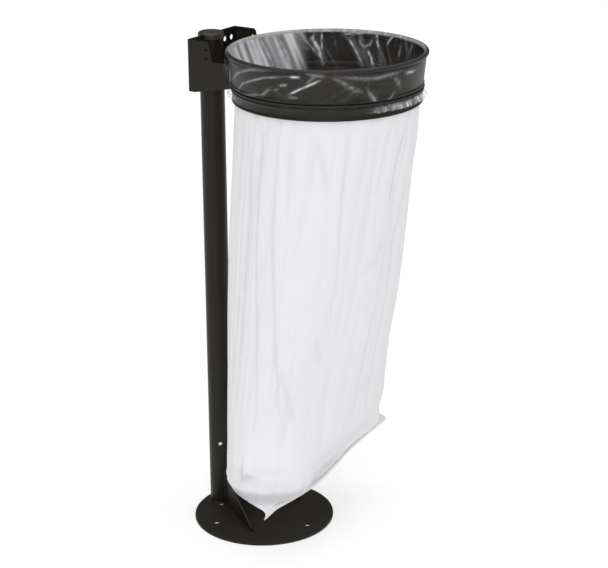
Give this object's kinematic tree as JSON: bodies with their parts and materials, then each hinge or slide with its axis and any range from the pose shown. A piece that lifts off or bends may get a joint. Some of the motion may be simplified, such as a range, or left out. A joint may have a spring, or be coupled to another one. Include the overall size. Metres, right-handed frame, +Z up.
{
  "type": "litter bag holder",
  "caption": "Post-mounted litter bag holder: round steel collar on a folded bracket, tube post with gussets on a round base plate, clear bag held by an elastic strap.",
  "frame": {"origin": "centre of the round base plate's underside, on the ground", "axes": "+Z up along the post; +X from the post towards the collar; +Y completes the right-handed frame"},
  "size_m": [0.5745, 0.5706, 1.171],
  "materials": {
    "powder_coat": "satin manganese-brown powder coat",
    "cap_plastic": "satin moulded plastic",
    "zinc": "zinc plated",
    "strap_rubber": "matt black",
    "bag_film": "clear polythene film, milky"
  },
  "bodies": {
    "root": {"base_plate": "powder_coat", "post_tube": "powder_coat", "post_cap": "cap_plastic", "post_rivet": "zinc", "gusset_left": "powder_coat", "gusset_right": "powder_coat", "collar_shell": "powder_coat", "rim_wire": "zinc", "bracket_left": "powder_coat", "bracket_right": "powder_coat", "elastic_strap": "strap_rubber", "bag": "bag_film", "bag_cuff": "bag_film"}
  },
  "joints": []
}
